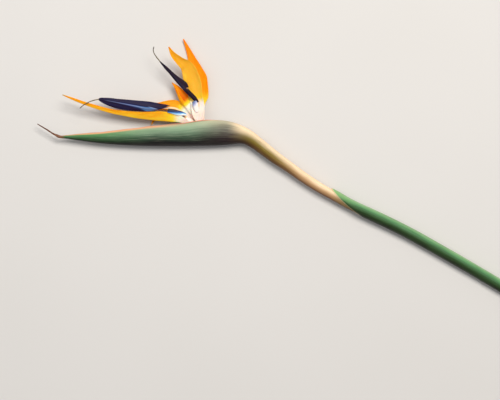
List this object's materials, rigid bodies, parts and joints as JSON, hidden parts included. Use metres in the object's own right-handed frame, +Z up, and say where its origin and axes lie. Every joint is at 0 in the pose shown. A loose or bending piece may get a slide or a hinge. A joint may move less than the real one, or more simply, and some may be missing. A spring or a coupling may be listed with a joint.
{
  "type": "bird of paradise flower",
  "caption": "Cut bird of paradise flower lying on its side: a beak-like green spathe, flared orange sepals, blue arrow petals with threads, and a stem in a green sheath.",
  "frame": {"origin": "centre of the flower's outline, on the surface that it lies on", "axes": "+X from the tip of the spathe's beak towards the cut end of the stem, +Y towards the side that the upright sepals stand out on, +Z up from the surface"},
  "size_m": [0.4794, 0.2618, 0.0316],
  "materials": {
    "pale_stem": "smooth fleshy cream stalk with a satin skin",
    "green_sheath": "ribbed green leaf sheath, satin",
    "spathe": "grey-green bloomed bract with a pink margin and a dark purple keel",
    "flower_base": "waxy white flower base with a pink tint",
    "sepal": "fine-veined orange sepal, satin",
    "arrow_petal": "deep blue-violet petal, velvety sheen",
    "small_petal": "pale blue petal fading to white, dark at its tip",
    "style": "thin olive-brown thread"
  },
  "bodies": {
    "root": {"scape": "pale_stem", "sheath": "green_sheath", "spathe": "spathe", "flower_1_base": "flower_base", "flower_2_base": "flower_base", "flower_1_keeled_sepal": "sepal", "flower_1_rear_sepal": "sepal", "flower_1_hooked_sepal": "sepal", "flower_2_keeled_sepal": "sepal", "flower_2_front_sepal": "sepal", "flower_2_rear_sepal": "sepal", "flower_1_small_petal": "small_petal", "flower_2_small_petal": "small_petal", "flower_1_arrow": "arrow_petal", "flower_2_arrow": "arrow_petal", "flower_1_style": "style", "flower_2_style": "style"}
  },
  "joints": []
}
